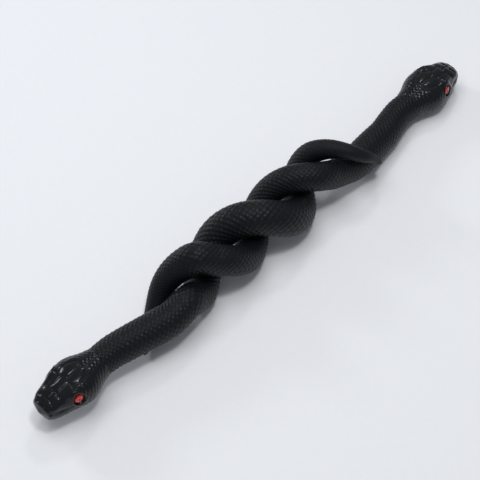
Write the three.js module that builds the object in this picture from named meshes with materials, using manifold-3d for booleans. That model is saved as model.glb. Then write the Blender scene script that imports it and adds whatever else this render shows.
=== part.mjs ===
// Twisty snake puzzle: two snakes wound round each other as a right-handed double helix.
// Millimetres, +Z up. The origin is on the floor under the middle of the object.
// The twist axis runs along X: snake A's head is at the -X end and snake B's at the +X end.

import * as THREE from 'three';
import { mergeVertices } from 'three/addons/utils/BufferGeometryUtils.js';
import Module from 'manifold-3d';

const wasm = await Module();
wasm.setup();

const { lerp } = THREE.MathUtils;

// ---- driving dimensions ----

const LENGTH = 240;            // nose to nose
const TWIST_X = -6.3;          // where snake A passes over the top of the twist
const TWIST_Y = 0.3;           // the twist axis, beside the middle of the object's width
const AXIS_HEIGHT = 13.6;      // the twist axis, above the floor
const PITCH = 57;              // length of one full turn of a strand
const HELIX_RADIUS = 7.15;     // from the twist axis to the middle of a strand
const HELIX_FROM = -33;        // a strand is a true helix between these distances
const HELIX_TO = 24;
const HELIX_STEP = 3;
const GAP = 0.3;               // between pieces that touch

const HEAD_LENGTH = 31;        // nose to the neck joint

const WIRE_RADIUS = 1.15;
const WIRE_BORE = WIRE_RADIUS + GAP;
const DOWEL_RADIUS = 2.8;
const DOWEL_IN_HEAD = 7;
const DOWEL_IN_NECK = 5;

const MOUTH_HEIGHT = -1.5;     // the mouth line, below the middle of the head
const JAW_LENGTH = 20;

const EYE_RADIUS = 1.9;
const EYE_DEPTH = 1.4;         // how deep an eye sits in the head
const EYE_PLACE = { back: 13.2, side: 8.0, up: 2.8 };
const EYE_FACING = new THREE.Vector3(-0.15, -0.985, 0.08).normalize();
const PUPIL_RADIUS = 0.65;

// Distances along a snake are measured from the twist centre, negative towards its head.
// A path lists [distance, y, z] of the middle line on both sides of the helix, in the snake's
// own frame, and a girth lists [distance, strand radius]. head and dowel are places beside the
// twist axis in the shared frame: snake A's dowel lies on the axis itself.
const SNAKES = {
  a: {
    nose: -LENGTH / 2 - TWIST_X,
    head: { y: -1, z: -1.4 },
    dowel: { y: 0, z: 0 },
    neck: [[-96, -1, -1.4], [-90, -1, -1.4], [-83, -1, -1.4], [-77, -1.4, -1.3],
      [-72, -2.53, -1.06], [-67, -3.63, -0.99], [-62, -4.83, -0.97], [-57, -6, -0.81],
      [-52, -6.93, -0.62], [-47, -6.79, -0.25], [-42, -6.31, -0.26], [-37.5, -5.17, -3.23]],
    tail: [[30, 2.44, -6.03], [36, 7.56, -1.35], [41, 6.63, 5.24], [46, 0.73, 9.04],
      [50, -5.62, 9.31], [54, -10.27, 7.07], [58, -12.1, 3.87], [61, -12.92, 0.18],
      [62.7, -12.86, -2.79]],
    girth: [[-96, 6.2], [-83, 6.2], [-76, 6.55], [-66, 6.79], [-58, 6.91], [-46, 6.62], [-38, 6.66], [-29, 7.1],
      [0, 7.2],
      [20, 7.24], [28, 6.78], [36, 5.87], [44, 4.41], [50, 3.36], [54, 2.73], [58, 2.11],
      [61, 1.51], [62.7, 1.12]],
  },
  b: {
    nose: -LENGTH / 2 + TWIST_X,
    head: { y: 0.5, z: -6 },
    dowel: { y: 0.5, z: -6 },
    neck: [[-108, 0.5, 6], [-98, 0.5, 6], [-91, 0.5, 6], [-84, -0.8, 6.1],
      [-78, -2.26, 6.15], [-73, -2.81, 5.94], [-68, -3.46, 5.51], [-63, -4.24, 4.99],
      [-58, -5.03, 4.1], [-53, -5.33, 2.89], [-48, -5.31, 1.15], [-42, -5.2, -1.38],
      [-37, -4.69, -4.54]],
    tail: [[30, 1.23, -9.27], [36, 4.86, -5.37], [43, 6.36, 0.77], [50, 3.93, 6.74],
      [57, -0.23, 10.36], [62, -4.39, 11.33], [66, -6.06, 11.84]],
    girth: [[-108, 6.2], [-95, 6.2], [-88, 6.34], [-80, 6.58], [-70, 6.97], [-62, 7.16],
      [-54, 6.81], [-46, 6.21], [-36, 5.96], [-14, 6.01], [0, 6.65], [14, 6.09], [24, 6.37],
      [36, 6.03], [45, 4.74], [52, 3.81], [57, 2.99], [62, 1.7], [66, 0.53]],
  },
};

// Half-width and half-heights of the head, as [distance from the nose, size].
const HEAD_WIDTH = [[0, 1.8], [0.8, 3.8], [2.5, 5.3], [6, 6.7], [10, 7.8], [13, 8.7], [16, 9.4],
  [19, 9.7], [22, 9.1], [26, 7.4], [29, 6.5], [31, 6.2]];
const HEAD_TOP = [[0, 1.2], [0.8, 2.7], [2.5, 4.1], [6, 5.6], [10, 6.6], [15, 7.3], [19, 7.5],
  [22, 7.3], [26, 6.7], [29, 6.3], [31, 6.2]];
const HEAD_BOTTOM = [[0, 1.5], [0.8, 3.3], [2.5, 4.7], [6, 5.5], [10, 5.7], [15, 5.9], [19, 6],
  [22, 6.1], [26, 6.1], [29, 6.2], [31, 6.2]];
const HEAD_SQUARENESS = 2.6;   // 2 is an ellipse, and a larger number has fuller corners

// ---- materials ----

const finish = (color, roughness, metalness) =>
  new THREE.MeshStandardMaterial({ color, roughness, metalness });
const SOFT_BLACK = finish('#0b0d10', 0.5, 0);
const GLOSS_BLACK = finish('#08090b', 0.25, 0);
const EYE_RED = finish('#b3100f', 0.12, 0);
const PUPIL_BLACK = finish('#020202', 0.1, 0);
const STEEL = finish('#9a9da1', 0.35, 1);
const DOWEL_NYLON = finish('#3a3b3e', 0.5, 0);

// ---- solids ----

function smoothTable(rows) {
  const steps = new THREE.CubicInterpolant(rows.map((row) => row[0]), rows.map((row) => row[1]), 1);
  return (x) => steps.evaluate(x)[0];
}

function toManifold(geometry) {
  const bare = geometry.clone();
  bare.deleteAttribute('normal');
  bare.deleteAttribute('uv');
  const merged = mergeVertices(bare, 1e-4);
  return new wasm.Manifold(new wasm.Mesh({
    numProp: 3,
    vertProperties: merged.attributes.position.array,
    triVerts: Uint32Array.from(merged.index.array),
  }));
}

function toGeometry(solid) {
  const mesh = solid.getMesh();
  const geometry = new THREE.BufferGeometry();
  geometry.setAttribute('position', new THREE.BufferAttribute(mesh.vertProperties, 3));
  geometry.setIndex(new THREE.BufferAttribute(mesh.triVerts, 1));
  geometry.computeVertexNormals();
  return geometry;
}

function box(low, high) {
  const size = new THREE.Vector3().subVectors(high, low);
  const middle = new THREE.Vector3().addVectors(low, high).multiplyScalar(0.5);
  return toManifold(new THREE.BoxGeometry(size.x, size.y, size.z).translate(...middle));
}

// A round solid along X, from [distance, radius] corners that start and end on the axis.
function turned(corners, segments) {
  const points = corners.map(([along, radius]) => new THREE.Vector2(radius, along));
  return new THREE.LatheGeometry(points, segments).rotateZ(-Math.PI / 2);
}

// The middle line of a snake in its own frame: head towards -X, twist axis along X.
class StrandCurve extends THREE.Curve {
  constructor(snake, fromX) {
    super();
    const helix = [];
    for (let x = HELIX_FROM; x <= HELIX_TO; x += HELIX_STEP) {
      const angle = Math.PI / 2 + (2 * Math.PI * x) / PITCH;
      helix.push([x, HELIX_RADIUS * Math.cos(angle), HELIX_RADIUS * Math.sin(angle)]);
    }
    const knots = [...snake.neck, ...helix, ...snake.tail];
    this.place = new THREE.CubicInterpolant(
      knots.map((knot) => knot[0]), knots.flatMap((knot) => knot.slice(1)), 2);
    this.fromX = fromX;
    this.tailX = knots.at(-1)[0];
    this.arcLengthDivisions = 1200;
  }

  getPoint(t, target = new THREE.Vector3()) {
    const x = lerp(this.fromX, this.tailX, t);
    return target.set(x, ...this.place.evaluate(x));
  }
}

// A straight turned solid, bent along a curve. Each corner is [whole steps along, radius].
function bentSolid(corners, curve, steps, segments) {
  const geometry = new THREE.LatheGeometry(
    corners.map(([step, radius]) => new THREE.Vector2(radius, step)), segments);
  const frames = curve.computeFrenetFrames(steps);
  const middle = curve.getSpacedPoints(steps);
  const position = geometry.attributes.position;
  const vertex = new THREE.Vector3();
  for (let i = 0; i < position.count; i += 1) {
    vertex.fromBufferAttribute(position, i);
    const step = Math.round(vertex.y);
    const bent = middle[step].clone()
      .addScaledVector(frames.normals[step], vertex.x)
      .addScaledVector(frames.binormals[step], -vertex.z);
    position.setXYZ(i, bent.x, bent.y, bent.z);
  }
  return toManifold(geometry);
}

// A straight round solid across the neck joint, at the dowel's place beside a middle line.
function acrossJoint(snake, aside, corners) {
  const joint = snake.nose + HEAD_LENGTH;
  const round = turned(corners.map(([along, radius]) => [joint + along, radius]), 24);
  return toManifold(round.translate(0, aside.y, aside.z));
}

function dowelSocket(snake, aside, from, to) {
  const radius = DOWEL_RADIUS + GAP;
  return acrossJoint(snake, aside, [[from, 0], [from, radius], [to, radius], [to, 0]]);
}

// The soft body: a tapering tube from the neck joint to the tail tip, with a narrow bore for
// the wire that opens into the dowel's socket at the neck. zSign is 1 where the snake's own
// frame stands upright and -1 where it is turned over.
function bodySolid(snake, zSign) {
  const curve = new StrandCurve(snake, snake.nose + HEAD_LENGTH + GAP / 2);
  const steps = 58;
  const stepLength = curve.getLength() / steps;
  const boreStart = Math.ceil(DOWEL_IN_NECK / stepLength);
  const boreEnd = steps - 6;
  const girth = smoothTable(snake.girth);
  const middle = curve.getSpacedPoints(steps);
  const corners = [[boreEnd, 0]];
  for (let step = boreEnd; step >= boreStart; step -= 1) corners.push([step, WIRE_BORE]);
  corners.push([0, WIRE_BORE]);
  for (let step = 0; step <= steps; step += 1) corners.push([step, girth(middle[step].x)]);
  corners.push([steps, 0]);
  const tube = bentSolid(corners, curve, steps, 16);
  const aside = { y: snake.dowel.y, z: snake.dowel.z * zSign };
  const reach = 1;
  const socket = dowelSocket(snake, aside, -reach, DOWEL_IN_NECK + GAP);
  const floor = [-AXIS_HEIGHT * zSign, -(AXIS_HEIGHT + 5) * zSign].sort((p, q) => p - q);
  const below = box(new THREE.Vector3(-150, -30, floor[0]), new THREE.Vector3(150, 30, floor[1]));
  return tube.subtract(socket).subtract(below);
}

function wireSolid(snake) {
  const curve = new StrandCurve(snake, snake.nose + HEAD_LENGTH + DOWEL_IN_NECK + GAP);
  const steps = 50;
  const end = steps - 7;
  const corners = [[0, 0]];
  for (let step = 0; step <= end; step += 1) corners.push([step, WIRE_RADIUS]);
  corners.push([end, 0]);
  return bentSolid(corners, curve, steps, 6);
}

function dowelSolid(snake, zSign) {
  const aside = { y: snake.dowel.y, z: snake.dowel.z * zSign };
  return acrossJoint(snake, aside, [[-DOWEL_IN_HEAD, 0], [-DOWEL_IN_HEAD, DOWEL_RADIUS],
    [DOWEL_IN_NECK, DOWEL_RADIUS], [DOWEL_IN_NECK, 0]]);
}

// The whole head, facing -X, with its rear face at the neck joint.
function headBlank(snake) {
  const width = smoothTable(HEAD_WIDTH);
  const top = smoothTable(HEAD_TOP);
  const bottom = smoothTable(HEAD_BOTTOM);
  const rear = HEAD_LENGTH - GAP / 2;
  const stations = [0, 0.8, 2.5, 5, 8, 11, 14, 17, 20, 23, 26, 28.5, rear];
  const corners = [[0, 0], ...stations.map((back) => [back, 1]), [rear, 0]];
  const geometry = turned(corners, 28);
  const position = geometry.attributes.position;
  const vertex = new THREE.Vector3();
  const fuller = (size) => Math.sign(size) * Math.abs(size) ** (2 / HEAD_SQUARENESS);
  for (let i = 0; i < position.count; i += 1) {
    vertex.fromBufferAttribute(position, i);
    const back = vertex.x;
    const height = vertex.z > 0 ? top(back) : bottom(back);
    position.setXYZ(i, snake.nose + back, fuller(vertex.y) * width(back), fuller(vertex.z) * height);
  }
  return toManifold(geometry);
}

// Places a turned piece, whose +X end faces out, in the left (-1) or right (1) eye socket.
function inEyeSocket(geometry, snake, side) {
  const facing = EYE_FACING.clone();
  facing.y *= -side;
  const seat = new THREE.Vector3(snake.nose + EYE_PLACE.back, side * EYE_PLACE.side, EYE_PLACE.up)
    .addScaledVector(facing, -EYE_DEPTH);
  const turn = new THREE.Quaternion().setFromUnitVectors(new THREE.Vector3(1, 0, 0), facing);
  return toManifold(geometry.applyQuaternion(turn).translate(seat.x, seat.y, seat.z));
}

// headTurn is 1 where the head looks along -X and -1 where it looks along +X.
function headSolids(snake, headTurn) {
  const blank = headBlank(snake);
  const mouth = (inset) => box(
    new THREE.Vector3(snake.nose - 5, -15, -15),
    new THREE.Vector3(snake.nose + JAW_LENGTH + inset, 15, MOUTH_HEIGHT + inset));
  const aside = {
    y: (snake.dowel.y - snake.head.y) * headTurn,
    z: snake.dowel.z - snake.head.z,
  };
  let shell = blank.subtract(mouth(0)).subtract(dowelSocket(snake, aside, -DOWEL_IN_HEAD - GAP, 2));
  for (const side of [-1, 1]) {
    const socket = turned([[-GAP, 0], [-GAP, EYE_RADIUS + GAP], [8, EYE_RADIUS + GAP], [8, 0]], 20);
    shell = shell.subtract(inEyeSocket(socket, snake, side));
  }
  return { shell, jaw: blank.intersect(mouth(-GAP)) };
}

// A domed eye with a pit in front for the pupil, and the pupil that sits in the pit.
function eyeSolid(snake, side) {
  return inEyeSocket(turned([
    [0, 0], [0, EYE_RADIUS], [1.5, EYE_RADIUS], [1.95, 1.6],
    [2.2, PUPIL_RADIUS + GAP], [1.7, PUPIL_RADIUS + GAP], [1.7, 0],
  ], 20), snake, side);
}

function pupilSolid(snake, side) {
  return inEyeSocket(turned([
    [2.0, 0], [2.0, PUPIL_RADIUS], [2.25, PUPIL_RADIUS], [2.4, 0.4], [2.45, 0],
  ], 14), snake, side);
}

// ---- assembly ----

function addMesh(group, name, solid, material) {
  const mesh = new THREE.Mesh(toGeometry(solid), material);
  mesh.name = name;
  group.add(mesh);
}

// Snake B is snake A's counterpart: its strand is turned half a turn about Y, which puts it in
// the other groove of the twist, and its head half a turn about Z, which keeps the crown up.
function buildSnake(key, turn) {
  const snake = SNAKES[key];
  const name = (piece) => `snake_${key}_${piece}`;
  const strand = new THREE.Group();
  if (turn < 0) strand.rotation.y = Math.PI;
  addMesh(strand, name('body'), bodySolid(snake, turn), SOFT_BLACK);
  addMesh(strand, name('core_wire'), wireSolid(snake), STEEL);
  addMesh(strand, name('neck_dowel'), dowelSolid(snake, turn), DOWEL_NYLON);

  const head = new THREE.Group();
  if (turn < 0) head.rotation.z = Math.PI;
  head.position.set(0, snake.head.y, snake.head.z);
  const { shell, jaw } = headSolids(snake, turn);
  addMesh(head, name('head_shell'), shell, GLOSS_BLACK);
  addMesh(head, name('lower_jaw'), jaw, GLOSS_BLACK);
  for (const [sideName, side] of [['left', -1], ['right', 1]]) {
    addMesh(head, name(`${sideName}_eye`), eyeSolid(snake, side), EYE_RED);
    addMesh(head, name(`${sideName}_pupil`), pupilSolid(snake, side), PUPIL_BLACK);
  }

  const whole = new THREE.Group();
  whole.add(strand, head);
  whole.position.set(TWIST_X, TWIST_Y, AXIS_HEIGHT);
  return whole;
}

const puzzle = new THREE.Group();
puzzle.add(buildSnake('a', 1));
puzzle.add(buildSnake('b', -1));

export default puzzle;
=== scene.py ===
import math

import bpy
import numpy as np
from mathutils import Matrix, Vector


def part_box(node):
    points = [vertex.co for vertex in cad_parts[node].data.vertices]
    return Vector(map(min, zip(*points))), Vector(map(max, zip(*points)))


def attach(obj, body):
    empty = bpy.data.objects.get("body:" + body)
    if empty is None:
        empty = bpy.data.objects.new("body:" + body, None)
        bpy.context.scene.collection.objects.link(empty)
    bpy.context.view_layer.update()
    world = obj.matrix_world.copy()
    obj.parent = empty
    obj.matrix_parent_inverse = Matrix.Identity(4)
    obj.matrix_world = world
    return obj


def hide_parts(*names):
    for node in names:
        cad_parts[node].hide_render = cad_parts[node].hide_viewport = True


MM = 0.001

# ---- driving dimensions of the pair, in millimetres, as the frame holds them ----

LENGTH = 240
TWIST_X = -6.3
TWIST_Y = 0.3
AXIS_HEIGHT = 13.6
PITCH = 57
HELIX_RADIUS = 7.15
HELIX_PLACES = np.arange(-33, 25, 3)
HEAD_LENGTH = 31
JAW_LENGTH = 20
MOUTH_HEIGHT = -1.5

# Distances along a snake are measured from the twist centre, negative towards its head.
# The neck and tail list [distance, y, z] of the middle line on both sides of the helix in the
# snake's own frame. Snake B's strand is turned half a turn about Y from there, and its head
# half a turn about Z. head is the middle of the head beside the twist axis.
SNAKES = {
    "a": dict(
        nose=-LENGTH / 2 - TWIST_X, head=(-1, -1.4), strand_turn=(1, 1, 1),
        head_turn=(1, 1, 1), seed=11,
        neck=[(-96, -1, -1.4), (-90, -1, -1.4), (-83, -1, -1.4), (-77, -1.4, -1.3),
              (-72, -2.53, -1.06), (-67, -3.63, -0.99), (-62, -4.83, -0.97), (-57, -6, -0.81),
              (-52, -6.93, -0.62), (-47, -6.79, -0.25), (-42, -6.31, -0.26), (-37.5, -5.17, -3.23)],
        tail=[(30, 2.44, -6.03), (36, 7.56, -1.35), (41, 6.63, 5.24), (46, 0.73, 9.04),
              (50, -5.62, 9.31), (54, -10.27, 7.07), (58, -12.1, 3.87), (61, -12.92, 0.18),
              (62.7, -12.86, -2.79)],
        girth=[(-96, 6.2), (-83, 6.2), (-76, 6.55), (-66, 6.79), (-58, 6.91), (-46, 6.62),
               (-38, 6.66), (-29, 7.1), (0, 7.2), (20, 7.24), (28, 6.78), (36, 5.87), (44, 4.41),
               (50, 3.36), (54, 2.73), (58, 2.11), (61, 1.51), (62.7, 1.12)]),
    "b": dict(
        nose=-LENGTH / 2 + TWIST_X, head=(0.5, -6), strand_turn=(-1, 1, -1),
        head_turn=(-1, -1, 1), seed=23,
        neck=[(-108, 0.5, 6), (-98, 0.5, 6), (-91, 0.5, 6), (-84, -0.8, 6.1),
              (-78, -2.26, 6.15), (-73, -2.81, 5.94), (-68, -3.46, 5.51), (-63, -4.24, 4.99),
              (-58, -5.03, 4.1), (-53, -5.33, 2.89), (-48, -5.31, 1.15), (-42, -5.2, -1.38),
              (-37, -4.69, -4.54)],
        tail=[(30, 1.23, -9.27), (36, 4.86, -5.37), (43, 6.36, 0.77), (50, 3.93, 6.74),
              (57, -0.23, 10.36), (62, -4.39, 11.33), (66, -6.06, 11.84)],
        girth=[(-108, 6.2), (-95, 6.2), (-88, 6.34), (-80, 6.58), (-70, 6.97), (-62, 7.16),
               (-54, 6.81), (-46, 6.21), (-36, 5.96), (-14, 6.01), (0, 6.65), (14, 6.09),
               (24, 6.37), (36, 6.03), (45, 4.74), (52, 3.81), (57, 2.99), (62, 1.7), (66, 0.53)]),
}

# Scales of the body: columns run from neck to tail, and every second column is half a row on.
SCALE_COLUMNS = 30
ROW_LENGTH = 2.15               # at the full girth
FULL_GIRTH = 7.0
SCALE_RISE = 0.5
SCALE_PROUD = 0.14              # how far a scale's crest stands over the body's girth
BELLY_COLUMNS = 7
VERTS_PER_COLUMN = 4
VERTS_PER_ROW = 6
SCALE_SEATS = 1777              # different seat heights drawn for the scales
TAIL_SMOOTH = (9, 3)            # the scales fade out between these distances from the tip

# The strand's middle line.
STRAND_POINTS = 6000
NECK_OVERLAP = 2.2              # how far the skin runs on inside the head
TIP_LENGTH = 1.6                # the rounded end of the tail
BACK_LEAN = 42                  # degrees that the back leans over in the twist


# ---- small helpers ----

def deselect():
    if bpy.context.object and bpy.context.object.mode != "OBJECT":
        bpy.ops.object.mode_set(mode="OBJECT")
    bpy.ops.object.select_all(action="DESELECT")


def select_only(piece):
    deselect()
    piece.select_set(True)
    bpy.context.view_layer.objects.active = piece


def smoothstep(x, low, high):
    t = np.clip((np.asarray(x, float) - low) / (high - low), 0, 1)
    return t * t * (3 - 2 * t)


def bump(x, centre, width):
    return np.exp(-((np.asarray(x, float) - centre) / width) ** 2)


def blend(a, b, t):
    return a * (1 - t) + b * t


def table(rows, x):
    """A smooth curve through a few [place, size] points."""
    places = np.array([row[0] for row in rows], float)
    sizes = np.array([row[1] for row in rows], float)
    slopes = np.gradient(sizes, places)
    x = np.clip(x, places[0], places[-1])
    i = np.clip(np.searchsorted(places, x) - 1, 0, len(places) - 2)
    step = places[i + 1] - places[i]
    t = (x - places[i]) / step
    return ((1 + 2 * t) * (1 - t) ** 2 * sizes[i] + t * (1 - t) ** 2 * step * slopes[i]
            + t * t * (3 - 2 * t) * sizes[i + 1] + t * t * (t - 1) * step * slopes[i + 1])


def get_points(piece):
    flat = np.empty(len(piece.data.vertices) * 3)
    piece.data.vertices.foreach_get("co", flat)
    return flat.reshape(-1, 3)


def set_points(piece, points):
    piece.data.vertices.foreach_set("co", np.ascontiguousarray(points, float).ravel())
    piece.data.update()


def set_value(piece, name, values):
    """Stores one number per vertex, for the piece's material to read."""
    layer = piece.data.attributes.new(name, "FLOAT", "POINT")
    layer.data.foreach_set("value", np.ascontiguousarray(values, float))


def add_sheet(name, steps_along, steps_around):
    """A flat grid, one step to a unit along X and from 0 to 1 across Y."""
    bpy.ops.mesh.primitive_grid_add(x_subdivisions=steps_along, y_subdivisions=steps_around, size=1)
    sheet = bpy.context.object
    sheet.name = sheet.data.name = name
    bpy.ops.object.mode_set(mode="EDIT")
    bpy.ops.transform.resize(value=(steps_along, 1, 1))
    bpy.ops.transform.translate(value=(steps_along / 2, 0.5, 0))
    bpy.ops.object.mode_set(mode="OBJECT")
    return sheet


def close_skin(piece, weld):
    """Welds the long seam and the end rings that were drawn in to a point."""
    select_only(piece)
    bpy.ops.object.mode_set(mode="EDIT")
    bpy.ops.mesh.select_all(action="SELECT")
    bpy.ops.mesh.remove_doubles(threshold=weld)
    bpy.ops.mesh.delete_loose()
    bpy.ops.mesh.select_all(action="SELECT")
    bpy.ops.mesh.normals_make_consistent(inside=False)
    bpy.ops.object.mode_set(mode="OBJECT")
    bpy.ops.object.shade_smooth()
    deselect()


# ---- materials ----

class Wire:
    """A shader socket or number that takes part in sums."""

    def __init__(self, shader, socket):
        self.shader = shader
        self.socket = socket

    def math(self, operation, *others, clamp=False):
        return self.shader.node("ShaderNodeMath", dict(operation=operation, use_clamp=clamp),
                                {i: v for i, v in enumerate((self,) + others)})

    def __add__(self, other):
        return self.math("ADD", other)

    def __sub__(self, other):
        return self.math("SUBTRACT", other)

    def __mul__(self, other):
        return self.math("MULTIPLY", other)

    def __rsub__(self, other):
        return (self * -1.0) + other

    __radd__ = __add__
    __rmul__ = __mul__

    def clamped(self):
        return self.math("ADD", 0.0, clamp=True)


class Shader:
    def __init__(self, name):
        self.material = bpy.data.materials.new(name)
        self.material.use_nodes = True
        self.nodes = self.material.node_tree.nodes
        self.links = self.material.node_tree.links
        self.surface = self.nodes["Principled BSDF"]

    def plug(self, socket, value):
        if isinstance(value, Wire):
            self.links.new(value.socket, socket)
        else:
            socket.default_value = value

    def node(self, kind, settings=None, inputs=None, output=0):
        made = self.nodes.new(kind)
        for key, value in (settings or {}).items():
            setattr(made, key, value)
        for key, value in (inputs or {}).items():
            self.plug(made.inputs[key], value)
        return Wire(self, made.outputs[output])

    def set(self, **values):
        for key, value in values.items():
            self.plug(self.surface.inputs[key.replace("_", " ")], value)

    def place(self):
        return self.node("ShaderNodeTexCoord", output="Object")

    def noise(self, size_mm, detail=3.0, rough=0.55):
        return self.node("ShaderNodeTexNoise", inputs={
            "Vector": self.place(), "Scale": 1000 / size_mm, "Detail": detail, "Roughness": rough})

    def value(self, name):
        return self.node("ShaderNodeAttribute", dict(attribute_name=name), output="Fac")

    def mix(self, factor, first, second):
        return self.node("ShaderNodeMix", dict(data_type="RGBA"),
                         {0: factor, 6: first, 7: second}, output=2)

    def bump(self, height, depth_mm, strength=1.0):
        return self.node("ShaderNodeBump", inputs={
            "Height": height, "Distance": depth_mm * MM, "Strength": strength})


def soft_black():
    """Soft-touch moulded rubber: satin on the scales, duller in the grooves between them, where
    painted shade also darkens the colour.
    """
    shader = Shader("soft_touch_black")
    rise = shader.value("rise")
    mottle = shader.noise(9)
    # painted shade: the grooves between scales are coloured darker and the crests lighter, mixed
    # with a random mottle
    groove_shade_and_mottle = (rise * 0.8 + mottle * 0.3).clamped()
    shader.set(Base_Color=shader.mix(groove_shade_and_mottle, (0.002, 0.0025, 0.0035, 1), (0.0065, 0.0078, 0.0105, 1)),
               Roughness=shader.noise(1.2) * 0.1 + 0.62 - rise * 0.44,
               Normal=shader.bump(shader.noise(0.35, 2.0), 0.02, 0.3),
               Specular_IOR_Level=0.24)
    return shader.material


def gloss_black():
    """The hard head moulding: polished plates with dull seams, where painted shade darkens the
    colour.
    """
    shader = Shader("head_gloss_black")
    rise = shader.value("rise")
    smear = shader.noise(5)
    # painted shade: the colour is darker in the seams and between the cheek scales, lighter on the
    # proud plates
    shader.set(Base_Color=shader.mix(rise, (0.002, 0.0025, 0.0035, 1), (0.005, 0.006, 0.008, 1)),
               Roughness=smear * 0.12 + 0.3 - rise * 0.14, Specular_IOR_Level=0.3,
               Coat_Weight=rise * 0.08, Coat_Roughness=0.12,
               Normal=shader.bump(shader.noise(1.6, 2.0), 0.03, 0.35))
    return shader.material


def eye_red():
    """Clear-coated red dome, deeper at its rim, with fine streaks round the pupil."""
    shader = Shader("eye_red")
    rim = shader.value("rise")
    streaks = shader.noise(0.35, 4.0)
    tone = (rim * 0.8 + streaks * 0.35).clamped()
    shader.set(Base_Color=shader.mix(tone, (0.85, 0.035, 0.035, 1), (0.38, 0.004, 0.006, 1)),
               Roughness=streaks * 0.1 + 0.25, Coat_Weight=0.3, Coat_Roughness=0.1)
    return shader.material


def pupil_black():
    shader = Shader("pupil_black")
    depth = shader.noise(0.5)
    shader.set(Base_Color=shader.mix(depth, (0.002, 0.002, 0.002, 1), (0.008, 0.006, 0.006, 1)),
               Roughness=0.06, Coat_Weight=1.0, Coat_Roughness=0.03)
    return shader.material


def drawn_wire():
    shader = Shader("drawn_wire")
    lines = shader.noise(0.6, 5.0)
    shader.set(Base_Color=shader.mix(lines, (0.42, 0.43, 0.45, 1), (0.6, 0.61, 0.63, 1)),
               Metallic=1.0, Roughness=lines * 0.2 + 0.25)
    return shader.material


def turned_nylon():
    shader = Shader("turned_nylon")
    grain = shader.noise(0.8)
    shader.set(Base_Color=shader.mix(grain, (0.03, 0.03, 0.033, 1), (0.06, 0.06, 0.065, 1)),
               Roughness=grain * 0.15 + 0.45)
    return shader.material


# ---- the strand a snake's body follows ----

class Strand:
    """The middle line of a body in the shared frame, in millimetres, with its girth."""

    def __init__(self, snake):
        joint = snake["nose"] + HEAD_LENGTH
        x = np.linspace(joint - NECK_OVERLAP, snake["tail"][-1][0], STRAND_POINTS)
        turned = math.pi / 2 + 2 * math.pi * HELIX_PLACES / PITCH
        helix = list(zip(HELIX_PLACES, HELIX_RADIUS * np.cos(turned),
                         HELIX_RADIUS * np.sin(turned)))
        knots = snake["neck"] + helix + snake["tail"]
        own = np.stack([x, table([(k[0], k[1]) for k in knots], x),
                        table([(k[0], k[2]) for k in knots], x)], axis=1)
        self.middle = own * snake["strand_turn"] + (TWIST_X, TWIST_Y, AXIS_HEIGHT)
        steps = np.linalg.norm(np.diff(self.middle, axis=0), axis=1)
        self.along = np.concatenate([[0], np.cumsum(steps)])
        self.length = self.along[-1]
        self.girth = table(snake["girth"], x) * self.tip_rounding()
        self.tangent = np.gradient(self.middle, self.along, axis=0)
        self.tangent /= np.linalg.norm(self.tangent, axis=1)[:, None]
        self.back = self.back_direction(x, joint)
        self.side = np.cross(self.tangent, self.back)

    def tip_rounding(self):
        left = np.clip((self.length - self.along) / TIP_LENGTH, 0, 1)
        return np.sqrt(1 - (1 - left) ** 2)

    def back_direction(self, x, joint):
        """Where the snake's back faces: straight up at the neck, leaning over in the twist."""
        lean = math.radians(BACK_LEAN) * smoothstep(x, joint + 8, -24)
        up = np.stack([np.zeros_like(x), np.sin(lean), np.cos(lean)], axis=1)
        up -= self.tangent * np.sum(up * self.tangent, axis=1)[:, None]
        return up / np.linalg.norm(up, axis=1)[:, None]

    def at(self, along, what):
        return np.stack([np.interp(along, self.along, what[:, i]) for i in range(3)], axis=1)

    def row_starts(self):
        """How many scale rows fit, and how far along each point is, counted in rows."""
        row = ROW_LENGTH * np.maximum(self.girth, 2.4) / FULL_GIRTH
        count = np.concatenate([[0], np.cumsum(np.diff(self.along) / row[1:])])
        return count * (math.floor(count[-1]) / count[-1])


def scale_relief(row, column, random):
    """Height from 0 to 1 of overlapping scales at a place counted in rows and columns.

    Each scale looks its seat height up in random by its row and column. Around the belly,
    wide plates take the scales' place, one to a row."""
    best = np.zeros_like(row)
    nearest = np.round(column)
    for shift in (-1, 0, 1):
        k = nearest + shift
        offset = 0.5 * np.mod(k, 2)
        m = np.round(row - offset)
        across = (column - k) / 0.94
        lengthwise = (row - offset - m) / 0.49
        reach = np.clip(np.abs(across) ** 1.5 + np.abs(lengthwise) ** 1.5, 0, 1)
        tilt = 0.86 + 0.14 * lengthwise
        seat = random[(np.mod(m, 61) * 29 + np.mod(k, SCALE_COLUMNS)).astype(int) % len(random)]
        best = np.maximum(best, (1 - reach ** 1.15) * tilt * (0.9 + 0.2 * seat))
    from_belly = np.abs(np.mod(column, SCALE_COLUMNS) - SCALE_COLUMNS / 2)
    half = BELLY_COLUMNS / 2
    fall = np.mod(row + 0.04 * from_belly ** 2, 1.0)
    border = 1 - bump(from_belly, half, 0.22)
    plate = (0.25 + 0.6 * fall) * (1 - smoothstep(fall, 0.84, 0.98)) * border
    return blend(plate, best, smoothstep(from_belly, half - 0.15, half + 0.15))


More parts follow.
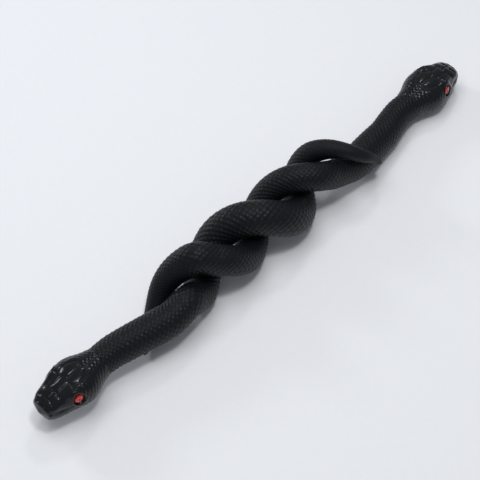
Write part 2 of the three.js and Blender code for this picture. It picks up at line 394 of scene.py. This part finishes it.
def make_body(key, snake, material):
    strand = Strand(snake)
    counted = strand.row_starts()
    rows = int(round(counted[-1]))
    sheet = add_sheet(f"snake_{key}_scaled_skin", rows * VERTS_PER_ROW,
                      SCALE_COLUMNS * VERTS_PER_COLUMN)
    flat = get_points(sheet)
    row = flat[:, 0] / VERTS_PER_ROW
    column = flat[:, 1] * SCALE_COLUMNS
    random = np.random.default_rng(snake["seed"]).random(SCALE_SEATS)
    along = np.interp(row, counted, strand.along)
    girth = np.interp(along, strand.along, strand.girth)
    relief = scale_relief(row, column, random)
    fade_from, fade_to = TAIL_SMOOTH
    relief *= 1 - smoothstep(along, strand.length - fade_from, strand.length - fade_to)
    rise = SCALE_RISE * np.minimum(girth / FULL_GIRTH, 1)
    radius = np.maximum(girth + SCALE_PROUD * rise / SCALE_RISE - rise + rise * relief, 0)
    radius[flat[:, 0] < 0.5] = 0
    angle = 2 * math.pi * flat[:, 1]
    out = (strand.at(along, strand.back) * np.cos(angle)[:, None]
           + strand.at(along, strand.side) * np.sin(angle)[:, None])
    points = strand.at(along, strand.middle) + out * radius[:, None]
    points[:, 2] = np.maximum(points[:, 2], 0)
    set_points(sheet, points * MM)
    # rise also sets the skin's colour, so the grooves between scales get painted shade
    set_value(sheet, "rise", np.clip(relief, 0, 1))
    close_skin(sheet, 0.002 * MM)
    sheet.data.materials.append(material)
    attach(sheet, f"snake_{key}")
    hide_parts(f"snake_{key}_body")


# ---- the head ----

HEAD_WIDTH = [(0, 1.8), (0.8, 3.8), (2.5, 5.3), (6, 6.7), (10, 7.8), (13, 8.7), (16, 9.4),
              (19, 9.7), (22, 9.1), (26, 7.4), (29, 6.5), (31, 6.2)]
HEAD_TOP = [(0, 1.2), (0.8, 2.7), (2.5, 4.1), (6, 5.6), (10, 6.6), (15, 7.3), (19, 7.5),
            (22, 7.3), (26, 6.7), (29, 6.3), (31, 6.2)]
HEAD_BOTTOM = [(0, 1.5), (0.8, 3.3), (2.5, 4.7), (6, 5.5), (10, 5.7), (15, 5.9), (19, 6),
               (22, 6.1), (26, 6.1), (29, 6.2), (31, 6.2)]
HEAD_STEPS_ALONG = 150
HEAD_STEPS_AROUND = 224
HEAD_REAR_GAP = 0.2
MOUTH_GAP = 0.12

# Plates, seams and small scales of the head.
PLATE_RISE = 0.22
PLATE_SEAM_DEPTH = 0.18
LIP_PLATE_LENGTH = 2.3
LIP_SEAM_DEPTH = 0.2
UPPER_SEAM_DEPTH = 0.16
CHEEK_SCALE_LENGTH = 1.75
CHEEK_SCALE_COLUMNS = 24
CHEEK_SCALE_RISE = 0.34
CHEEK_SINK = 0.2

# Eyes and nostrils, back from the nose and up from the head's middle.
EYE_BACK = 13.2
EYE_UP = 2.8
EYE_SOCKET = 2.15
SOCKET_DEPTH = 1.5
SOCKET_RIM_RISE = 0.28
BROW_RISE = 1.05
SNOUT_HOLLOW_DEPTH = 0.55
NOSTRIL_BACK = 2.1
NOSTRIL_UP = 1.1
NOSTRIL_DEPTH = 0.75

# Seams between the crown plates, as (distance from the nose, distance from the middle).
CROWN_SEAMS = [
    [(1.6, 0), (2.0, 1.6), (1.5, 2.8)],
    [(1.6, 0), (4.4, 0)],
    [(4.4, 0), (4.7, 1.6), (4.0, 3.6)],
    [(4.4, 0), (8.0, 0)],
    [(8.0, 0), (8.2, 1.4), (7.6, 2.4), (7.9, 3.8), (7.4, 5.2)],
    [(7.6, 2.4), (10.5, 1.9), (13.6, 2.1), (15.6, 0)],
    [(13.6, 2.1), (13.9, 3.6), (13.3, 5.3)],
    [(15.6, 0), (21.8, 0)],
    [(13.9, 3.6), (16.4, 5.0), (19.4, 4.4), (22.6, 2.2), (21.8, 0)],
]


def seam_distance(back, side, seams):
    """How far each place on the crown is from the nearest seam."""
    side = np.abs(side)
    nearest = np.full(back.shape, 1e3)
    for seam in seams:
        for (x0, y0), (x1, y1) in zip(seam[:-1], seam[1:]):
            dx, dy = x1 - x0, y1 - y0
            t = np.clip(((back - x0) * dx + (side - y0) * dy) / (dx * dx + dy * dy), 0, 1)
            gap = np.hypot(back - x0 - t * dx, side - y0 - t * dy)
            nearest = np.minimum(nearest, gap)
    return nearest


def head_relief(back, side, up, around):
    """The head's raised detail in millimetres, and how proud each place is from 0 to 1."""
    crown = smoothstep(up, 2.2, 3.2) * (1 - smoothstep(back, 21.5, 23.0)) * (
        1 - smoothstep(np.abs(side), 5.4, 6.2))
    seam = seam_distance(back, side, CROWN_SEAMS)
    groove = np.exp(-(seam / 0.24) ** 2) * crown
    pillow = (1 - np.exp(-(seam / 0.9) ** 2)) * crown
    # small smooth scales over the cheeks and the back of the head
    rows = back / CHEEK_SCALE_LENGTH
    columns = around * CHEEK_SCALE_COLUMNS
    k = np.round(columns)
    best = np.zeros_like(back)
    for shift in (-1, 0, 1):
        j = k + shift
        offset = 0.5 * np.mod(j, 2)
        m = np.round(rows - offset)
        reach = np.clip(np.abs(columns - j) ** 1.3 + np.abs((rows - offset - m) / 0.5) ** 1.3, 0, 1)
        best = np.maximum(best, 1 - reach ** 3)
    cheeks = smoothstep(back, 13.5, 16) * (1 - crown)
    # plates along the lips, above and below the mouth
    lips = bump(up, MOUTH_HEIGHT + 1.3, 1.0) + bump(up, MOUTH_HEIGHT - 1.3, 0.9)
    lips *= smoothstep(back, 1.5, 3.0) * (1 - smoothstep(back, 17, 19))
    lip_seam = np.abs(np.mod(back / LIP_PLATE_LENGTH, 1.0) - 0.5) * LIP_PLATE_LENGTH
    lip_groove = (np.exp(-((LIP_PLATE_LENGTH / 2 - lip_seam) / 0.2) ** 2)
                  * np.clip(lips, 0, 1))
    # one long seam above the upper lip plates
    upper = (bump(up, MOUTH_HEIGHT + 2.7, 0.22) * smoothstep(back, 2.5, 4)
             * (1 - smoothstep(back, 16, 18)))
    height = (PLATE_RISE * pillow - PLATE_SEAM_DEPTH * groove - LIP_SEAM_DEPTH * lip_groove
              - UPPER_SEAM_DEPTH * upper)
    height += cheeks * (CHEEK_SCALE_RISE * best - CHEEK_SINK)
    # proud also sets the head's colour, so the seams and the gaps between cheek scales carry
    # painted shade
    proud = np.clip(1 - groove - lip_groove - 0.8 * upper - cheeks * (1 - best), 0, 1)
    return height, proud


def eye_and_nostril(back, side, up):
    """Sockets, brow ridges and nostrils, in millimetres inwards (-) or outwards (+)."""
    outer = smoothstep(np.abs(side), 3.5, 6.0)
    to_eye = np.hypot(back - EYE_BACK, up - EYE_UP)
    socket = -SOCKET_DEPTH * outer * (
        1 - smoothstep(to_eye, EYE_SOCKET - 0.25, EYE_SOCKET + 0.2))
    rim = SOCKET_RIM_RISE * bump(to_eye, EYE_SOCKET + 0.55, 0.4) * outer
    brow = BROW_RISE * bump(back, EYE_BACK - 0.8, 3.6) * bump(up, EYE_UP + 3.0, 1.5) * outer
    hollow = -SNOUT_HOLLOW_DEPTH * bump(back, 6.2, 2.6) * bump(up, 1.6, 1.3) * outer
    to_nostril = np.hypot(back - NOSTRIL_BACK, (up - NOSTRIL_UP) * 1.3)
    nostril = -NOSTRIL_DEPTH * bump(to_nostril, 0, 0.5) * smoothstep(np.abs(side), 2.0, 3.0)
    return socket + rim + brow + hollow + nostril


def head_surface(name):
    """The whole head in its own frame, nose towards -X at x = 0, as one closed skin."""
    sheet = add_sheet(name, HEAD_STEPS_ALONG, HEAD_STEPS_AROUND)
    flat = get_points(sheet)
    t = flat[:, 0] / HEAD_STEPS_ALONG
    reach = HEAD_LENGTH - HEAD_REAR_GAP
    back = reach * (0.35 * t ** 2 + 0.65 * t)
    around = flat[:, 1]
    angle = 2 * math.pi * around
    square = blend(2.5, 2.0, smoothstep(back, 14, 28))
    tip = np.sqrt(np.clip(back / 1.2, 0, 1))
    width = table(HEAD_WIDTH, back) * tip
    top = table(HEAD_TOP, back) * tip
    bottom = table(HEAD_BOTTOM, back) * tip
    c, s = np.cos(angle), np.sin(angle)
    side = width * np.sign(c) * np.abs(c) ** (2 / square)
    up = np.where(s > 0, top, bottom) * np.sign(s) * np.abs(s) ** (2 / square)
    relief, proud = head_relief(back, side, up, around)
    relief += eye_and_nostril(back, side, up)
    relief *= smoothstep(back, 0.3, 1.2) * (1 - smoothstep(back, 29, 30.5))
    out = np.stack([side / width.clip(0.5) ** 2, up / bottom.clip(0.5) ** 2], axis=1)
    out /= np.linalg.norm(out, axis=1).clip(1e-6)[:, None]
    side = side + relief * out[:, 0]
    up = up + relief * out[:, 1]
    ends = (flat[:, 0] < 0.5) | (flat[:, 0] > HEAD_STEPS_ALONG - 0.5)
    side[ends] = 0
    up[ends] = 0
    tuck = 1 - 0.12 * smoothstep(back, 29, 30.6)
    set_points(sheet, np.stack([back, side * tuck, up * tuck], axis=1))
    set_value(sheet, "rise", proud)
    close_skin(sheet, 1e-4)
    return sheet


def copy_jaw(head):
    """A copy of the head cut down to the jaw, the front part below the mouth."""
    select_only(head)
    bpy.ops.object.duplicate()
    jaw = bpy.context.object
    bpy.ops.object.mode_set(mode="EDIT")
    for place, facing in (((0, 0, MOUTH_HEIGHT - MOUTH_GAP), (0, 0, 1)),
                          ((JAW_LENGTH - MOUTH_GAP, 0, 0), (1, 0, 0))):
        bpy.ops.mesh.select_all(action="SELECT")
        bpy.ops.mesh.bisect(plane_co=place, plane_no=facing, use_fill=True, clear_outer=True)
    bpy.ops.object.mode_set(mode="OBJECT")
    return jaw


def cut_out_jaw(head):
    """Takes the jaw's block out of the upper head with a boolean."""
    over = 10                   # how far the block passes the head in front
    bpy.ops.mesh.primitive_cube_add(size=1)
    block = bpy.context.object
    bpy.ops.object.mode_set(mode="EDIT")
    bpy.ops.transform.resize(value=(JAW_LENGTH + over, 4 * over, 2 * over))
    bpy.ops.transform.translate(value=((JAW_LENGTH - over) / 2, 0, MOUTH_HEIGHT - over))
    bpy.ops.object.mode_set(mode="OBJECT")
    select_only(head)
    cut = head.modifiers.new("mouth", "BOOLEAN")
    cut.operation = "DIFFERENCE"
    cut.solver = "EXACT"
    cut.object = block
    bpy.ops.object.modifier_apply(modifier="mouth")
    bpy.data.objects.remove(block)


def place_head_piece(piece, name, snake, material, key, node):
    turn = np.array(snake["head_turn"])
    own = get_points(piece) + (snake["nose"], 0, 0)
    middle = (TWIST_X, TWIST_Y + snake["head"][0], AXIS_HEIGHT + snake["head"][1])
    set_points(piece, (own * turn + middle) * MM)
    piece.name = piece.data.name = name
    piece.data.materials.clear()
    piece.data.materials.append(material)
    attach(piece, f"snake_{key}")
    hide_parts(node)


def make_head(key, snake, upper, jaw, material):
    for source, name, node in ((upper, "head", "head_shell"), (jaw, "jaw", "lower_jaw")):
        copy = source.copy()
        copy.data = source.data.copy()
        bpy.context.collection.objects.link(copy)
        place_head_piece(copy, f"snake_{key}_{name}_moulding", snake, material, key,
                         f"snake_{key}_{node}")


# ---- eyes ----

GEM_RADIUS = 1.95
GEM_HEIGHT = 0.75
PUPIL_RADIUS = 0.68
PUPIL_HEIGHT = 0.24
PUPIL_SEAT = 0.66               # the pupil's middle, out from the gem's
EYE_FACING = (-0.15, 0.985, 0.08)


def dome(name, radius, height, centre, facing, segments, rings):
    """A flattened ball whose pole looks along facing, with its middle at centre."""
    bpy.ops.mesh.primitive_uv_sphere_add(segments=segments, ring_count=rings, radius=radius)
    ball = bpy.context.object
    ball.name = ball.data.name = name
    own = get_points(ball)
    far = np.hypot(own[:, 0], own[:, 1]) / radius
    own[:, 2] *= height / radius
    turn = Vector((0, 0, 1)).rotation_difference(Vector(facing)).to_matrix()
    set_points(ball, own @ np.array(turn).T + centre)
    set_value(ball, "rise", np.clip(far, 0, 1) ** 3)
    select_only(ball)
    bpy.ops.object.shade_smooth()
    deselect()
    return ball


def make_eyes(key, snake, red, black):
    for side in ("left", "right"):
        node = f"snake_{key}_{side}_eye"
        low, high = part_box(node)
        centre = (np.array(low) + np.array(high)) / 2
        away = 1 if centre[1] > (TWIST_Y + snake["head"][0]) * MM else -1
        ahead = snake["head_turn"][0]
        facing = np.array(EYE_FACING) * (ahead, away, 1)
        facing /= np.linalg.norm(facing)
        eye = dome(f"{node}_gem", GEM_RADIUS * MM, GEM_HEIGHT * MM, centre, facing, 48, 24)
        pupil = dome(f"snake_{key}_{side}_pupil_bead", PUPIL_RADIUS * MM, PUPIL_HEIGHT * MM,
                     centre + facing * PUPIL_SEAT * MM, facing, 32, 16)
        for piece, material, slot, name in (
                (eye, red, "eye_red", node),
                (pupil, black, "pupil_black", f"snake_{key}_{side}_pupil")):
            piece.data.materials.append(material)
            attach(piece, f"snake_{key}")
            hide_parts(name)


# ---- stage ----

CAMERA_AZIMUTH = -45.74         # degrees round from the front
CAMERA_ELEVATION = 54.43
CAMERA_AIM = (4.87, 4.44)       # left of and below the twist centre, as the camera sees it
CAMERA_DISTANCE = 582.3
CAMERA_LENS = 109.66
WORLD_STRENGTH = 0.28
FLOOR_SIZE = 6                  # metres

# Square lamps that face the middle of the object: name, place and side in metres, watts,
# colour, and whether shiny surfaces mirror them.
LAMPS = [
    ("overhead", (0.0, -0.14, 0.80), 0.10, 1.4, (1.0, 0.99, 0.97), True),
    ("softbox", (-0.10, 0.10, 0.80), 0.60, 3.0, (1.0, 0.99, 0.98), False),
    ("right_fill", (0.39, 0.28, 0.64), 0.10, 0.6, (1.0, 0.99, 0.98), True),
    ("low_rear", (-0.12, 0.72, 0.34), 0.16, 1.2, (0.98, 0.99, 1.0), True),
]


def make_camera():
    azimuth, elevation = math.radians(CAMERA_AZIMUTH), math.radians(CAMERA_ELEVATION)
    back = Vector((math.sin(azimuth) * math.cos(elevation),
                   -math.cos(azimuth) * math.cos(elevation), math.sin(elevation)))
    right = Vector((math.cos(azimuth), math.sin(azimuth), 0))
    up = back.cross(right)
    aim = Vector((TWIST_X, TWIST_Y, AXIS_HEIGHT)) - right * CAMERA_AIM[0] - up * CAMERA_AIM[1]
    data = bpy.data.cameras.new("camera")
    data.sensor_width = 36
    data.lens = CAMERA_LENS
    data.clip_start = 0.01
    camera = bpy.data.objects.new("camera", data)
    camera.location = (aim + back * CAMERA_DISTANCE) * MM
    camera.rotation_euler = back.to_track_quat("Z", "Y").to_euler()
    bpy.context.collection.objects.link(camera)
    bpy.context.scene.camera = camera


def add_lamp(name, place, size, power, colour, mirrored):
    data = bpy.data.lights.new(name, "AREA")
    data.size = size
    data.energy = power
    data.color = colour
    lamp = bpy.data.objects.new(name, data)
    lamp.location = place
    lamp.rotation_euler = Vector(place).to_track_quat("Z", "Y").to_euler()
    lamp.visible_glossy = mirrored
    bpy.context.collection.objects.link(lamp)


def make_stage():
    bpy.ops.mesh.primitive_plane_add(size=FLOOR_SIZE, location=(0, 0, 0))
    floor = bpy.context.object
    floor.name = "floor"
    shader = Shader("pale_paper")
    tooth = shader.noise(2.5, 4.0)
    shader.set(Base_Color=shader.mix(tooth, (0.80, 0.82, 0.86, 1), (0.83, 0.85, 0.89, 1)),
               Roughness=0.85, Specular_IOR_Level=0.2)
    floor.data.materials.append(shader.material)
    deselect()

    world = bpy.data.worlds.new("studio")
    world.use_nodes = True
    world.node_tree.nodes["Background"].inputs["Color"].default_value = (0.92, 0.95, 1.0, 1)
    world.node_tree.nodes["Background"].inputs["Strength"].default_value = WORLD_STRENGTH
    bpy.context.scene.world = world
    for lamp in LAMPS:
        add_lamp(*lamp)
    bpy.context.scene.view_settings.view_transform = "Standard"


# ---- assembly ----

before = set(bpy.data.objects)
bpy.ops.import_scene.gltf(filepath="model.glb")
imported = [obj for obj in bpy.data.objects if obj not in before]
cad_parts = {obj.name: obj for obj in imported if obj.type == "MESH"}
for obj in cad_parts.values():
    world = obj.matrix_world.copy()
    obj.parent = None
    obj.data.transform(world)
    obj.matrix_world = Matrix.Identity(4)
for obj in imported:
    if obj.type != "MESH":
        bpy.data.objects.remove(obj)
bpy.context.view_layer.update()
deselect()
make_camera()
make_stage()

body_finish = soft_black()
head_finish = gloss_black()
red_finish = eye_red()
black_finish = pupil_black()
wire_finish = drawn_wire()
nylon_finish = turned_nylon()

whole_head = head_surface("head_master")
jaw_master = copy_jaw(whole_head)
cut_out_jaw(whole_head)

for snake_key, snake_facts in SNAKES.items():
    make_body(snake_key, snake_facts, body_finish)
    make_head(snake_key, snake_facts, whole_head, jaw_master, head_finish)
    make_eyes(snake_key, snake_facts, red_finish, black_finish)
    for cad_piece, finish in (("core_wire", wire_finish), ("neck_dowel", nylon_finish)):
        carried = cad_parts[f"snake_{snake_key}_{cad_piece}"]
        carried.data.materials.clear()
        carried.data.materials.append(finish)

for master in (whole_head, jaw_master):
    bpy.data.objects.remove(master)
